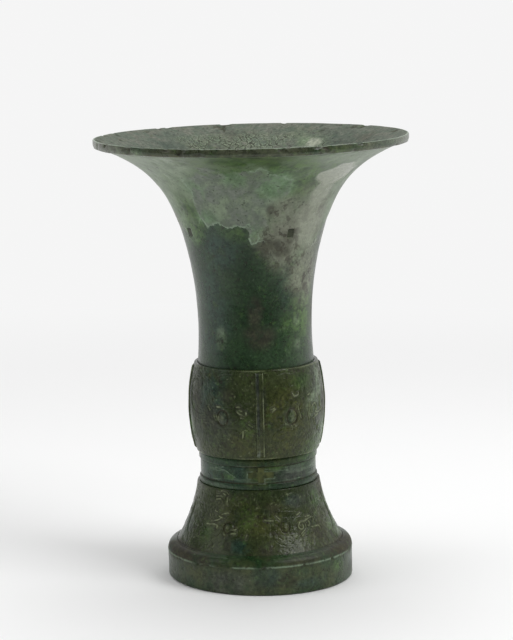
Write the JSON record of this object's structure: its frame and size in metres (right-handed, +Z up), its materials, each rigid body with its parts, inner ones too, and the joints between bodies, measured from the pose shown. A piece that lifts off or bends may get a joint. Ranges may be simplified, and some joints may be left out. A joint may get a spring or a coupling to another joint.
{
  "type": "bronze gu vessel",
  "caption": "Tall trumpet-mouthed bronze drinking vessel with a ribbed barrel, banded waist and hollow flaring foot on an upright ring; holds liquid in the cup and stands free.",
  "frame": {"origin": "centre of the standing ring, on the plane the vessel stands on", "axes": "+Z up through the mouth, +Y away from the viewer of the front mask, +X to that viewer's right; the casting leans 1.3 degrees towards -X"},
  "size_m": [0.158, 0.158, 0.2267],
  "materials": {
    "plain_bronze": "patinated bronze, grey-green over dark green with worn edges",
    "relief_bronze": "patinated bronze, dark olive with green in the sunk lines",
    "inner_bronze": "grey-green patina inside the cup",
    "spacer_bronze": "dark brown bronze, flush with the wall",
    "plug_bronze": "olive filled metal, flush with the band"
  },
  "bodies": {
    "root": {"trumpet_neck": "plain_bronze", "neck_spacers": "spacer_bronze", "bulb_shell": "relief_bronze", "flange_front": "relief_bronze", "flange_right": "relief_bronze", "flange_back": "relief_bronze", "flange_left": "relief_bronze", "cup_floor": "inner_bronze", "waist_band": "plain_bronze", "cross_plug_front": "plug_bronze", "cross_plug_back": "plug_bronze", "foot": "relief_bronze", "foot_spacers": "spacer_bronze", "foot_ring": "plain_bronze"}
  },
  "joints": []
}
